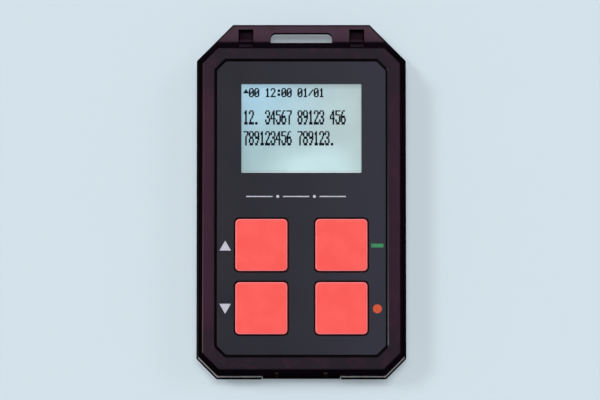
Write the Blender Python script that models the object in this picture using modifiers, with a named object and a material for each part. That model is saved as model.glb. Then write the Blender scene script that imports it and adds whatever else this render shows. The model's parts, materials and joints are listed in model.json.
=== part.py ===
"""A hand-held pager: cut-corner case with a lanyard tab, a backlit display, four square keys,
a circuit board with tactile switches, a vibration motor and one small round battery cell
behind a sliding door.

Frame: the pager lies on its back. X is its width, Y its length with the lanyard tab at +Y,
Z its thickness with the face up. The origin is the middle of the back face.
"""

import math

import bmesh
import bpy
from mathutils import Matrix, Vector

MM = 0.001

# Case, outside
HALF_WIDTH = 30.0 * MM
HALF_LENGTH = 50.8 * MM
THICKNESS = 20.0 * MM
RIM_Z = 10.0 * MM  # top of the rear shell's rim
PART_GAP = 0.3 * MM  # open line between the two shells
BODY_TOP = 45.4 * MM  # where the body ends and the lanyard tab starts
LOW_CUT = 5.8 * MM
TAB_CUT = 10.4 * MM
HIGH_CUT = TAB_CUT - (HALF_LENGTH - BODY_TOP)
LEDGE = 1.0 * MM  # how far the rear shell stands out beyond the front shell
SIDE_RUN = 1.15 * MM  # how far the front shell's side walls lean in
FOOT_RUN = 2.3 * MM  # the same for its lower end wall
TOP_RUN = 1.35 * MM  # and its upper one
WALL = 1.8 * MM
FACE_PLATE_Z = 17.2 * MM  # underside of the front shell's face
EDGE_ROUND = 0.35 * MM
LIP_THICKNESS = 0.8 * MM  # the rear shell's lip stands up inside the front shell's wall
LIP_HEIGHT = 1.2 * MM
FIT = 0.15 * MM  # gap between pieces that slide into each other
STACK_GAP = 0.05 * MM  # gap between pieces that are soldered or stacked

# Lanyard tab
TAB_LOW = 5.2 * MM
TAB_HIGH = 9.4 * MM
SLOT_HALF_WIDTH = 8.85 * MM
SLOT_LOW = 45.6 * MM
SLOT_HIGH = 48.45 * MM
SLOT_RADIUS = 1.4 * MM
HOOK_X = 15.9 * MM
HOOK_WIDTH = 3.9 * MM
HOOK_LOW = 7.4 * MM
POCKET_WIDTH = 4.3 * MM
POCKET_LENGTH = 5.65 * MM
POCKET_Y = 43.8 * MM
POCKET_FLOOR = 6.4 * MM

# Face label and display
LABEL_HALF_WIDTH = 23.7 * MM
LABEL_LOW = -43.3 * MM
LABEL_HIGH = 39.15 * MM
LABEL_CUT = 2.5 * MM
LABEL_FLOOR = 19.2 * MM
LABEL_Z = (19.3 * MM, 19.8 * MM)
LABEL_GAP = 0.4 * MM
DISPLAY_AT = (0.0, 20.3 * MM)
VIEW_SIZE = (33.8 * MM, 25.0 * MM)
WINDOW_SEAT = 18.3 * MM
WINDOW_FLANGE = (38.6 * MM, 30.0 * MM)
WINDOW_Z = (18.4 * MM, 19.15 * MM, 19.72 * MM)  # back, top of the flange, front
GLASS_SIZE = (36.2 * MM, 27.8 * MM)
GLASS_LEDGE = 2.0 * MM  # the rear glass is this much longer, which bares its contacts
FRONT_GLASS_Z = (16.8 * MM, 17.9 * MM)
REAR_GLASS_Z = (15.6 * MM, 16.7 * MM)
LIGHT_GUIDE_Z = (13.3 * MM, 15.5 * MM)
FRAME_SIZE = (40.4 * MM, 32.0 * MM)
FRAME_Z = (12.1 * MM, 13.2 * MM, 16.9 * MM)  # foot, floor, rim
RIBBON_WIDTH = 17.0 * MM
LAMP_SIZE = (8.0 * MM, 1.0 * MM, 1.5 * MM)
LAMP_X = 3.5 * MM

# Keys
KEY_SIZE = 14.65 * MM
KEY_GAP = 0.45 * MM
KEY_RADIUS = 1.2 * MM
KEY_X = 11.25 * MM
KEY_ROWS = (-12.55 * MM, -30.3 * MM)
KEY_TOP = 20.2 * MM
KEY_OPENING_RADIUS = 1.5 * MM
FLANGE_SIZE = 17.2 * MM
FLANGE_Z = (16.1 * MM, 16.9 * MM)
KEY_HOLLOW = 12.4 * MM
KEY_CEILING = 18.6 * MM
KEYS = {
    "up": (-KEY_X, KEY_ROWS[0]),
    "down": (-KEY_X, KEY_ROWS[1]),
    "confirm": (KEY_X, KEY_ROWS[0]),
    "stop": (KEY_X, KEY_ROWS[1]),
}

# Circuit board and what stands on it
BOARD_Z = (10.4 * MM, 12.0 * MM)
BOARD_HALF_WIDTH = 26.0 * MM
BOARD_LOW = -34.2 * MM
BOARD_HIGH = 41.5 * MM
BOARD_NECK = 19.4 * MM  # half the width of the lower end, which passes between the case screws
UNDER_BOARD = BOARD_Z[0] - STACK_GAP
SWITCH_SIZE = 6.0 * MM
SWITCH_TOP = 15.15 * MM
PLUNGER_Z = (14.3 * MM, 16.0 * MM)
PLUNGER_RADIUS = 1.7 * MM
BOARD_SCREWS = [(x * MM, y * MM) for x in (-23.0, 23.0) for y in (37.0, -21.5)]
CASE_SCREWS = {"left": (-23.2 * MM, -29.5 * MM), "right": (23.2 * MM, -29.5 * MM)}

# Battery bay
CELL_RADIUS = 5.25 * MM
CELL_Y = -40.6 * MM
CELL_Z = 7.2 * MM
CELL_ENDS = (-21.3 * MM, 22.0 * MM)
CELL_NUB = 23.2 * MM
PLATE_THICKNESS = 0.4 * MM
NEGATIVE_PLATE_X = -24.9 * MM
POSITIVE_PLATE_X = 23.4 * MM
DOOR_HALF_WIDTH = 23.85 * MM
DOOR_TOP_Y = -33.45 * MM
DOOR_THICKNESS = 1.7 * MM
DOOR_RAIL = 25.2 * MM
TONGUE_HALF_WIDTH = 11.1 * MM
TONGUE_INNER_Y = -49.35 * MM
TONGUE_TOP = 9.7 * MM
NOTCH_HALF_WIDTH = 11.35 * MM
DOOR_RAIL_Z = (1.05 * MM, 1.68 * MM)
DOOR_GROOVES = 5
GROOVE_PITCH = 1.5 * MM
GROOVE_DEPTH = 0.4 * MM
ARROW_TIP_Y = -38.1 * MM
ARROW_SIZE = (4.4 * MM, 1.8 * MM)

# Charging contacts
CHARGE_X = 6.9 * MM
CHARGE_Z = (10.7 * MM, 15.6 * MM)
CHARGE_INNER_Y = -46.3 * MM

# Vibration motor
MOTOR_Y = -14.0 * MM
MOTOR_Z = 6.2 * MM
MOTOR_RADIUS = 3.0 * MM
MOTOR_ENDS = (4.5 * MM, 15.5 * MM)
SHAFT_RADIUS = 0.5 * MM
WEIGHT_ENDS = (16.3 * MM, 19.4 * MM)
WEIGHT_RADIUS = 2.7 * MM

# Parts under the circuit board
BUZZER_AT = (-13.5 * MM, -14.0 * MM)
BUZZER_RADIUS = 6.5 * MM
BUZZER_HEIGHT = 3.6 * MM
SOUND_SLOTS = 5
SHIELD_AT = (-9.0 * MM, 20.0 * MM)
SHIELD_SIZE = (22.0 * MM, 17.0 * MM)
CHIP_AT = (12.0 * MM, 22.0 * MM)
CHIP_SIZE = 10.0 * MM
MEMORY_AT = (17.0 * MM, 6.0 * MM)
MEMORY_SIZE = (6.0 * MM, 5.0 * MM)
CRYSTAL_AT = (6.5 * MM, 5.5 * MM)
CRYSTAL_SIZE = (10.2 * MM, 3.8 * MM)
INDUCTOR_AT = (-5.0 * MM, 4.0 * MM)
INDUCTOR_RADIUS = 3.2 * MM
INDUCTOR_HEIGHT = 3.4 * MM
COIL_AT = (38.6 * MM, 6.6 * MM)  # y and z of the antenna coil's axis
COIL_RADIUS = 2.5 * MM
COIL_LENGTH = 20.0 * MM
COIL_TURNS = 7

FAR = 5.0 * MM  # how far a cutter reaches past the face it opens
NEAR = 1.0 * MM  # the same where another piece is close behind
FACING_X = (math.radians(90), 0, math.radians(90))  # turns an outline's x and y to Y and Z


# ---------------------------------------------------------------- scene and materials


def clear_scene():
    for obj in list(bpy.data.objects):
        bpy.data.objects.remove(obj, do_unlink=True)


def new_collection(name):
    collection = bpy.data.collections.new(name)
    bpy.context.scene.collection.children.link(collection)
    return collection


def material(name, colour, roughness, metallic=0.0, alpha=1.0):
    made = bpy.data.materials.new(name)
    made.use_nodes = True
    shader = made.node_tree.nodes["Principled BSDF"]
    shader.inputs["Base Color"].default_value = (*colour, 1.0)
    shader.inputs["Roughness"].default_value = roughness
    shader.inputs["Metallic"].default_value = metallic
    shader.inputs["Alpha"].default_value = alpha
    made.diffuse_color = (*colour, alpha)
    return made


def place(obj, collection):
    for old in list(obj.users_collection):
        old.objects.unlink(obj)
    collection.objects.link(obj)
    return obj


def finish(obj, name, finish_material, smooth=False):
    """Makes obj a named part of the pager."""
    obj.name = name
    obj.data.name = name
    obj.data.materials.clear()
    obj.data.materials.append(finish_material)
    if smooth:
        obj.data.shade_smooth()
        obj.data.set_sharp_from_angle(angle=math.radians(30))
    return place(obj, PAGER)


def empty(name, location):
    """The axis that a moving piece is parented to."""
    made = bpy.data.objects.new(name, None)
    made.location = location
    return place(made, PAGER)


# ---------------------------------------------------------------- outlines


def rectangle(width, height, centre=(0.0, 0.0)):
    x, y = centre
    w, h = width / 2, height / 2
    return [(x - w, y - h), (x + w, y - h), (x + w, y + h), (x - w, y + h)]


def cut_rectangle(half_width, low, high, low_cut, high_cut):
    """A rectangle with its four corners cut at 45 degrees, counter-clockwise."""
    w = half_width
    return [
        (-w + low_cut, low),
        (w - low_cut, low),
        (w, low + low_cut),
        (w, high - high_cut),
        (w - high_cut, high),
        (-w + high_cut, high),
        (-w, high - high_cut),
        (-w, low + low_cut),
    ]


def grown(outline, distance):
    """The outline with every edge moved outwards by the distance, inwards where it is negative."""
    count = len(outline)
    corners = [Vector(point) for point in outline]
    made = []
    for i, corner in enumerate(corners):
        before = (corner - corners[i - 1]).normalized()
        after = (corners[(i + 1) % count] - corner).normalized()
        out_before = Vector((before.y, -before.x))
        out_after = Vector((after.y, -after.x))
        mitre = (out_before + out_after) / (1 + out_before.dot(out_after))
        made.append(tuple(corner + mitre * distance))
    return made


def rounded(outline, radius, steps=4):
    """The outline with an arc at each corner."""
    count = len(outline)
    corners = [Vector(point) for point in outline]
    made = []
    for i, corner in enumerate(corners):
        before = (corner - corners[i - 1]).normalized()
        after = (corners[(i + 1) % count] - corner).normalized()
        turn = before.angle_signed(after) * -1
        start = corner - before * radius * math.tan(turn / 2)
        inwards = Vector((-before.y, before.x))
        centre = start + inwards * radius
        heading = math.atan2(-inwards.y, -inwards.x)
        for step in range(steps + 1):
            angle = heading + turn * step / steps
            made.append((centre.x + radius * math.cos(angle), centre.y + radius * math.sin(angle)))
    return made


BODY = cut_rectangle(HALF_WIDTH, -HALF_LENGTH, BODY_TOP, LOW_CUT, HIGH_CUT)
FRONT_FOOT = grown(BODY, -LEDGE)
FRONT_FACE = cut_rectangle(
    HALF_WIDTH - LEDGE - SIDE_RUN,
    -HALF_LENGTH + LEDGE + FOOT_RUN,
    BODY_TOP - LEDGE - TOP_RUN,
    4.7 * MM,
    4.4 * MM,
)
REAR_CAVITY = cut_rectangle(27.2 * MM, -48.0 * MM, 43.0 * MM, 4.8 * MM, 4.4 * MM)
FRONT_CAVITY_TOP = cut_rectangle(26.3 * MM, -46.2 * MM, 41.6 * MM, 4.4 * MM, 4.2 * MM)
LABEL = cut_rectangle(LABEL_HALF_WIDTH, LABEL_LOW, LABEL_HIGH, LABEL_CUT, LABEL_CUT)


# ---------------------------------------------------------------- solids


def box(low, high):
    """A box between two opposite corners."""
    low, high = Vector(low), Vector(high)
    bpy.ops.mesh.primitive_cube_add(size=1, location=(low + high) / 2)
    obj = bpy.context.object
    size = [abs(side) for side in high - low]
    obj.data.transform(Matrix.Diagonal((*size, 1)))
    return obj


def cylinder(radius, start, end, vertices=32):
    """A cylinder from one point to another."""
    start, end = Vector(start), Vector(end)
    bpy.ops.mesh.primitive_cylinder_add(
        vertices=vertices, radius=radius, depth=(end - start).length, location=(start + end) / 2
    )
    obj = bpy.context.object
    obj.rotation_mode = "QUATERNION"
    obj.rotation_quaternion = (end - start).to_track_quat("Z", "Y")
    return obj


def as_mesh(obj):
    """A mesh object with the evaluated shape of obj, in the same place; obj is removed.

    Triangles that lie in one plane become one face.
    """
    bpy.context.view_layer.update()
    evaluated = obj.evaluated_get(bpy.context.evaluated_depsgraph_get())
    data = bpy.data.meshes.new_from_object(evaluated)
    mesh = bmesh.new()
    mesh.from_mesh(data)
    bmesh.ops.remove_doubles(mesh, verts=mesh.verts, dist=0.001 * MM)
    bmesh.ops.dissolve_limit(mesh, angle_limit=0.001, verts=mesh.verts, edges=mesh.edges)
    mesh.to_mesh(data)
    mesh.free()
    made = bpy.data.objects.new(obj.name, data)
    made.matrix_world = obj.matrix_world.copy()
    bpy.context.scene.collection.objects.link(made)
    bpy.data.objects.remove(obj, do_unlink=True)
    return made


def plate(outline, z_low, z_high):
    """A flat piece with this outline, from one height to another."""
    curve = bpy.data.curves.new("outline", "CURVE")
    curve.dimensions = "2D"
    curve.fill_mode = "BOTH"
    curve.extrude = (z_high - z_low) / 2
    spline = curve.splines.new("POLY")
    spline.points.add(len(outline) - 1)
    for point, (x, y) in zip(spline.points, outline):
        point.co = (x, y, 0, 1)
    spline.use_cyclic_u = True
    obj = bpy.data.objects.new("plate", curve)
    obj.location.z = (z_low + z_high) / 2
    bpy.context.scene.collection.objects.link(obj)
    return as_mesh(obj)


def loft(*sections):
    """A solid through outlines with the same number of corners, each given as (outline, height)."""
    mesh = bmesh.new()
    rings = [[mesh.verts.new((x, y, z)) for x, y in outline] for outline, z in sections]
    for lower, upper in zip(rings, rings[1:]):
        for i in range(len(lower)):
            j = (i + 1) % len(lower)
            mesh.faces.new((lower[i], lower[j], upper[j], upper[i]))
    mesh.faces.new(reversed(rings[0]))
    mesh.faces.new(rings[-1])
    data = bpy.data.meshes.new("loft")
    mesh.to_mesh(data)
    mesh.free()
    obj = bpy.data.objects.new("loft", data)
    bpy.context.scene.collection.objects.link(obj)
    return obj


def prism(profile, x_low, x_high):
    """A piece with the same outline all along X, given as (y, z) corners."""
    obj = plate(profile, x_low, x_high)
    obj.location = ((x_low + x_high) / 2, 0, 0)
    obj.rotation_euler = FACING_X
    return obj


def wire(points, radius):
    """A round wire through the points."""
    curve = bpy.data.curves.new("wire", "CURVE")
    curve.dimensions = "3D"
    curve.bevel_depth = radius
    curve.bevel_resolution = 2
    curve.use_fill_caps = True
    spline = curve.splines.new("POLY")
    spline.points.add(len(points) - 1)
    for point, place_at in zip(spline.points, points):
        point.co = (*place_at, 1)
    obj = bpy.data.objects.new("wire", curve)
    bpy.context.scene.collection.objects.link(obj)
    return as_mesh(obj)


def round_edges(obj, width, segments=2, angle=30):
    bevel = obj.modifiers.new("edges", "BEVEL")
    bevel.width = width
    bevel.segments = segments
    bevel.limit_method = "ANGLE"
    bevel.angle_limit = math.radians(angle)
    return obj


def combine(target, operation, tools):
    for tool in tools:
        modifier = target.modifiers.new(operation.lower(), "BOOLEAN")
        modifier.operation = operation
        modifier.object = tool
        tool.name = f"{operation.lower()}_tool"
        tool.hide_render = True
        tool.display_type = "WIRE"
        place(tool, CUTTERS)
    return target


def cut(target, *tools):
    return combine(target, "DIFFERENCE", tools)


def join(target, *tools):
    return combine(target, "UNION", tools)


# ---------------------------------------------------------------- the two shells


def rear_hull():
    """The outside of the rear shell without its tab: bevelled at the back and at the rim."""
    return loft(
        (grown(BODY, -2.6 * MM), 0.0),
        (grown(BODY, -0.5 * MM), 2.4 * MM),
        (BODY, 9.3 * MM),
        (grown(BODY, -0.55 * MM), RIM_Z),
    )


def lanyard_tab():
    """The tab carries the cut corners of the body on in one line."""
    inside_x, inside_y = 25.0 * MM, 38.0 * MM
    corner_sum = HALF_WIDTH + HALF_LENGTH - TAB_CUT
    tab = [
        (-inside_x, inside_y),
        (inside_x, inside_y),
        (inside_x, corner_sum - inside_x),
        (corner_sum - HALF_LENGTH, HALF_LENGTH),
        (HALF_LENGTH - corner_sum, HALF_LENGTH),
        (-inside_x, corner_sum - inside_x),
    ]
    bevel = 0.5 * MM
    return loft(
        (grown(tab, -bevel), TAB_LOW),
        (tab, TAB_LOW + bevel),
        (tab, TAB_HIGH - bevel),
        (grown(tab, -bevel), TAB_HIGH),
    )


def lanyard_slot():
    """Rounded at the tab's end only, because the body closes its other side."""
    square = rectangle(2 * SLOT_HALF_WIDTH, SLOT_HIGH - SLOT_LOW, (0.0, (SLOT_LOW + SLOT_HIGH) / 2))
    arcs = rounded(square, SLOT_RADIUS)
    far_corners = arcs[len(arcs) // 2 :]
    return plate(square[:2] + far_corners, TAB_LOW - FAR, RIM_Z + FAR)


def hook_pocket(side):
    """The pocket in the tab that a hook of the front shell drops into. Its walls lean outwards."""
    x = side * HOOK_X
    lean = 0.4 * MM

    def opening(width, length):
        return rectangle(width, length, (x, POCKET_Y + length / 2))

    mouth = opening(POCKET_WIDTH, POCKET_LENGTH)
    return loft(
        (opening(POCKET_WIDTH - lean, POCKET_LENGTH - lean), POCKET_FLOOR),
        (mouth, TAB_HIGH),
        (grown(mouth, STACK_GAP), RIM_Z + FIT),
    )


def hook(side):
    """A hook on the front shell's end wall, with the ramp that slides it into its pocket."""
    x = side * HOOK_X
    root_y, tip_y, root_top = 44.0 * MM, 46.9 * MM, 11.4 * MM
    profile = [
        (root_y, HOOK_LOW),
        (tip_y - 0.4 * MM, HOOK_LOW),
        (tip_y, HOOK_LOW + 0.5 * MM),
        (root_y + 0.6 * MM, root_top),
        (root_y, root_top),
    ]
    return prism(profile, x - HOOK_WIDTH / 2, x + HOOK_WIDTH / 2)


def sound_slot(index):
    x, y = BUZZER_AT
    width, length, pitch = 1.0 * MM, 9.0 * MM, 2.2 * MM
    row = y + (index - (SOUND_SLOTS - 1) / 2) * pitch
    return plate(rounded(rectangle(length, width, (x, row)), 0.49 * width), -FAR, WALL + FAR)


def fit_battery_bay(shell):
    """A wall that closes the bay, and on each side a door rail and a holder behind a contact plate."""
    wall_y = DOOR_TOP_Y - 1.05 * MM
    bay_wall = box((-27.5 * MM, wall_y - 0.5 * MM, 1.0 * MM), (27.5 * MM, wall_y + 0.5 * MM, 9.9 * MM))
    join(shell, bay_wall)
    outer_x, holder_half = 27.4 * MM, 3.6 * MM
    for side, plate_x in ((-1, NEGATIVE_PLATE_X), (1, POSITIVE_PLATE_X + PLATE_THICKNESS)):
        rail = box((side * 24.1 * MM, -45.4 * MM, 1.0 * MM), (side * outer_x, wall_y, 3.2 * MM))
        holder = box(
            (plate_x + side * 2 * STACK_GAP, CELL_Y - holder_half, 2.8 * MM),
            (side * outer_x, CELL_Y + holder_half, 9.4 * MM),
        )
        join(shell, rail, holder)


def open_battery_bay(shell):
    """The door's opening, the grooves for its rails, and the notch for its end tongue."""
    end_y = -HALF_LENGTH - FAR
    top_y = DOOR_TOP_Y + FIT
    door_x = DOOR_HALF_WIDTH + FIT
    rail_x = DOOR_RAIL + 2 * FIT
    rail_low, rail_high = DOOR_RAIL_Z
    opening = box((-door_x, end_y, -FAR), (door_x, top_y, DOOR_THICKNESS + 0.25 * MM))
    grooves = box((-rail_x, end_y, rail_low - FIT), (rail_x, top_y, rail_high + FIT))
    notch_y = TONGUE_INNER_Y + FIT
    notch = box((-NOTCH_HALF_WIDTH, end_y, -FAR), (NOTCH_HALF_WIDTH, notch_y, RIM_Z + FAR))
    cut(shell, opening, grooves, notch)


def build_rear_shell():
    shell = round_edges(rear_hull(), 0.25 * MM)
    lip = plate(grown(REAR_CAVITY, LIP_THICKNESS), RIM_Z - 0.5 * MM, RIM_Z + LIP_HEIGHT)
    join(shell, lanyard_tab(), lip)
    cut(shell, plate(REAR_CAVITY, WALL, RIM_Z + FAR))
    fit_battery_bay(shell)
    for x, y in CASE_SCREWS.values():
        join(shell, cylinder(2.8 * MM, (x, y, 1.0 * MM), (x, y, 9.9 * MM)))
        head_room = cylinder(2.5 * MM, (x, y, -FAR), (x, y, 3.0 * MM))
        clearance = cylinder(1.35 * MM, (x, y, 2.0 * MM), (x, y, RIM_Z + FAR), 24)
        cut(shell, head_room, clearance)
    for side in (-1, 1):
        x, half = side * CHARGE_X, 0.8 * MM
        contact_room = box(
            (x - half, -48.95 * MM, CHARGE_Z[0] - 2 * FIT),
            (x + half, -47.5 * MM, RIM_Z + FAR),
        )
        cut(shell, contact_room, hook_pocket(side))
    open_battery_bay(shell)
    label_dip = rounded(rectangle(38.0 * MM, 22.0 * MM, (0.0, 17.0 * MM)), 2.0 * MM)
    cut(shell, lanyard_slot(), plate(label_dip, -FAR, 0.3 * MM))
    cut(shell, *[sound_slot(i) for i in range(SOUND_SLOTS)])
    finish(shell, "rear_shell", CASE_PLASTIC)


def end_wall_y(z):
    """Where the outside of the front shell's lower end wall is at this height."""
    foot = RIM_Z + PART_GAP
    share = (z - foot) / (THICKNESS - foot)
    return -HALF_LENGTH + LEDGE + FOOT_RUN * share


def charge_blade(side, clearance=0.0):
    """A metal blade through the lower end wall, following the wall's lean on the outside."""
    x = side * CHARGE_X
    low, high = CHARGE_Z
    half_width = 0.5 * MM + clearance
    proud = 0.3 * MM
    profile = [
        (end_wall_y(low) - proud, low - clearance),
        (CHARGE_INNER_Y, low - clearance),
        (CHARGE_INNER_Y, high + clearance),
        (end_wall_y(high) - proud, high + clearance),
    ]
    return prism(profile, x - half_width, x + half_width)


def key_opening(centre, z_low, z_high):
    side = KEY_SIZE + 2 * KEY_GAP
    return plate(rounded(rectangle(side, side, centre), KEY_OPENING_RADIUS), z_low, z_high)


def label_recess():
    """The recess for the label, with a wider mouth."""

    def ring(margin, radius):
        return rounded(grown(LABEL, LABEL_GAP + margin), radius)

    straight = ring(0.0, 0.9 * MM)
    return loft(
        (straight, LABEL_FLOOR),
        (straight, LABEL_FLOOR + 0.4 * MM),
        (ring(0.45 * MM, 1.1 * MM), THICKNESS),
        (ring(0.95 * MM, 1.3 * MM), THICKNESS + 0.5 * MM),
    )


def add_screw_bosses(shell):
    boss_top = FACE_PLATE_Z + 0.3 * MM
    for x, y in BOARD_SCREWS:
        join(shell, cylinder(2.3 * MM, (x, y, BOARD_Z[1] + 2 * STACK_GAP), (x, y, boss_top), 24))
        cut(shell, cylinder(1.0 * MM, (x, y, RIM_Z), (x, y, 16.6 * MM), 16))
    for x, y in CASE_SCREWS.values():
        join(shell, cylinder(2.6 * MM, (x, y, RIM_Z + PART_GAP), (x, y, boss_top), 24))
        cut(shell, cylinder(1.2 * MM, (x, y, 0.0), (x, y, 16.2 * MM), 16))


def build_front_shell():
    shell = round_edges(loft((FRONT_FOOT, RIM_Z + PART_GAP), (FRONT_FACE, THICKNESS)), EDGE_ROUND, 3)
    join(shell, hook(-1), hook(1))
    room_top = RIM_Z + LIP_HEIGHT + 2 * FIT
    lip_room = plate(grown(REAR_CAVITY, LIP_THICKNESS + FIT), RIM_Z - FAR, room_top)
    cavity_foot = grown(REAR_CAVITY, -0.1 * MM)
    cavity = loft((cavity_foot, room_top - 0.1 * MM), (FRONT_CAVITY_TOP, FACE_PLATE_Z))
    cut(shell, lip_room, cavity)
    add_screw_bosses(shell)

    seat_size = [side + 0.4 * MM for side in WINDOW_FLANGE]
    seat = rounded(rectangle(*seat_size, DISPLAY_AT), 1.6 * MM)
    glass_room = rectangle(*[side + NEAR for side in GLASS_SIZE], DISPLAY_AT)
    cut(
        shell,
        label_recess(),
        plate(seat, WINDOW_SEAT, LABEL_FLOOR + STACK_GAP),
        plate(glass_room, FACE_PLATE_Z - NEAR, WINDOW_SEAT + STACK_GAP),
    )
    for centre in KEYS.values():
        cut(shell, key_opening(centre, FACE_PLATE_Z - NEAR, LABEL_FLOOR + STACK_GAP))
    for side in (-1, 1):
        cut(shell, charge_blade(side, 2 * STACK_GAP))
    finish(shell, "front_shell", CASE_PLASTIC)


# ---------------------------------------------------------------- face and display


def build_front_label():
    label = plate(rounded(LABEL, 0.7 * MM), *LABEL_Z)
    cut(label, plate(rounded(rectangle(*VIEW_SIZE, DISPLAY_AT), 0.3 * MM), 0.0, THICKNESS + FAR))
    for centre in KEYS.values():
        cut(label, key_opening(centre, 0.0, THICKNESS + FAR))
    finish(label, "front_label", LABEL_FILM)


def build_display_window():
    """A clear lens: its flange lies under the label and its middle fills the label's opening."""
    back, flange_top, front = WINDOW_Z
    window = plate(rounded(rectangle(*WINDOW_FLANGE, DISPLAY_AT), 1.4 * MM), back, flange_top)
    middle = [side - 2 * FIT for side in VIEW_SIZE]
    join(window, plate(rounded(rectangle(*middle, DISPLAY_AT), 0.25 * MM), back + 0.5 * MM, front))
    finish(window, "display_window", CLEAR_PLASTIC)


def build_display_glass():
    """Two panes over a light guide with a lamp at its foot. The rear pane sticks out at the lower end,
    where the ribbon is bonded to it."""
    width, height = GLASS_SIZE
    finish(plate(rectangle(width, height, DISPLAY_AT), *REAR_GLASS_Z), "lcd_rear_glass", GLASS)
    x, y = DISPLAY_AT
    shorter = rectangle(width, height - GLASS_LEDGE, (x, y + GLASS_LEDGE / 2))
    finish(plate(shorter, *FRONT_GLASS_Z), "lcd_front_glass", GLASS)
    lamp_width, lamp_depth, lamp_height = LAMP_SIZE
    lamp_room = lamp_depth + 2 * FIT
    guide = rectangle(width + 0.2 * MM, height + 0.2 * MM - lamp_room, (x, y + lamp_room / 2))
    finish(plate(rounded(guide, 0.5 * MM), *LIGHT_GUIDE_Z), "lcd_backlight", DIFFUSER)
    lamp_outline = rectangle(lamp_width, lamp_depth, (LAMP_X, y - height / 2 + lamp_depth / 2))
    lamp = plate(lamp_outline, LIGHT_GUIDE_Z[0], LIGHT_GUIDE_Z[0] + lamp_height)
    finish(round_edges(lamp, 0.15 * MM, 1), "backlight_lamp", WHITE_PLASTIC)


def build_display_frame():
    foot, floor, rim = FRAME_Z
    frame = plate(rounded(rectangle(*FRAME_SIZE, DISPLAY_AT), 0.8 * MM), foot, rim)
    pocket_size = [side + 0.6 * MM for side in GLASS_SIZE]
    pocket = plate(rectangle(*pocket_size, DISPLAY_AT), floor, THICKNESS)
    through = plate(rectangle(30.0 * MM, 22.0 * MM, DISPLAY_AT), 0.0, THICKNESS)
    gap_x = RIBBON_WIDTH / 2 + 0.7 * MM
    ribbon_gap = box((-gap_x, 3.0 * MM, 15.2 * MM), (gap_x, 8.0 * MM, THICKNESS))
    cut(frame, pocket, through, ribbon_gap)
    finish(frame, "lcd_frame", WHITE_PLASTIC)


def build_ribbon():
    """A flat ribbon that folds down from the rear glass into a connector on the board."""
    fold = [(5.9, 16.2), (3.6, 16.2), (2.7, 15.3), (2.6, 13.6), (2.2, 12.8), (0.4, 12.75)]
    curve = bpy.data.curves.new("ribbon", "CURVE")
    curve.dimensions = "3D"
    curve.extrude = RIBBON_WIDTH / 2
    spline = curve.splines.new("POLY")
    spline.points.add(len(fold) - 1)
    for point, (y, z) in zip(spline.points, fold):
        point.co = (y * MM, z * MM, 0, 1)
    sheet = bpy.data.objects.new("ribbon", curve)
    sheet.rotation_euler = FACING_X
    bpy.context.scene.collection.objects.link(sheet)
    ribbon = as_mesh(sheet)
    solid = ribbon.modifiers.new("thickness", "SOLIDIFY")
    solid.thickness = 0.25 * MM
    solid.offset = 0
    finish(ribbon, "lcd_ribbon", POLYIMIDE)

    half, back, mouth = 10.0 * MM, -2.2 * MM, 1.9 * MM
    connector = box((-half, back, BOARD_Z[1] + STACK_GAP), (half, mouth, 13.6 * MM))
    slit_x = RIBBON_WIDTH / 2 + 0.3 * MM
    cut(connector, box((-slit_x, 0.2 * MM, 12.4 * MM), (slit_x, mouth + FAR, 13.1 * MM)))
    finish(connector, "ribbon_connector", WHITE_PLASTIC)


# ---------------------------------------------------------------- keys and switches


def shared_mesh(obj):
    """The evaluated mesh of obj about the world's origin, for several objects; obj is removed."""
    made = as_mesh(obj)
    mesh = made.data
    mesh.transform(made.matrix_world)
    bpy.data.objects.remove(made)
    return mesh


def keycap_mesh():
    """A square cap, hollow below, with a retaining flange and a post that meets the switch.

    Its own origin is the middle of its top.
    """
    foot, flange_top = (z - KEY_TOP for z in FLANGE_Z)
    cap = plate(rounded(rectangle(KEY_SIZE, KEY_SIZE), KEY_RADIUS, 6), foot + 0.4 * MM, 0.0)
    round_edges(cap, 0.45 * MM, 3, 60)
    join(cap, plate(rounded(rectangle(FLANGE_SIZE, FLANGE_SIZE), KEY_OPENING_RADIUS), foot, flange_top))
    hollow = rounded(rectangle(KEY_HOLLOW, KEY_HOLLOW), 0.8 * MM)
    cut(cap, plate(hollow, -FAR, KEY_CEILING - KEY_TOP))
    join(cap, cylinder(2.0 * MM, (0, 0, foot), (0, 0, KEY_CEILING - KEY_TOP + 0.4 * MM), 24))
    return shared_mesh(cap)


def switch_mesh():
    """The body of a tactile switch with the bore that its plunger runs in. Its origin is its foot."""
    height = SWITCH_TOP - BOARD_Z[1] - STACK_GAP
    half = SWITCH_SIZE / 2
    body = round_edges(box((-half, -half, 0), (half, half, height)), 0.3 * MM, 1, 80)
    cut(body, cylinder(PLUNGER_RADIUS + FIT, (0, 0, height / 2), (0, 0, FAR), 24))
    return shared_mesh(body)


def build_keys():
    """Each key slides on its own empty, which carries the cap and the switch plunger under it."""
    cap_mesh = keycap_mesh()
    body_mesh = switch_mesh()
    plunger_low, plunger_high = (z - KEY_TOP for z in PLUNGER_Z)
    for key, (x, y) in KEYS.items():
        slide = empty(f"{key}_key_slide", (x, y, KEY_TOP))
        cap = bpy.data.objects.new("cap", cap_mesh)
        cap.parent = slide
        finish(cap, f"{key}_keycap", KEY_PLASTIC)
        plunger = cylinder(PLUNGER_RADIUS, (0, 0, plunger_low), (0, 0, plunger_high), 24)
        plunger.parent = slide
        finish(plunger, f"{key}_plunger", BLACK_PLASTIC, smooth=True)
        body = bpy.data.objects.new("switch", body_mesh)
        body.location = (x, y, BOARD_Z[1] + STACK_GAP)
        finish(body, f"{key}_switch", STEEL)


# ---------------------------------------------------------------- circuit board


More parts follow.
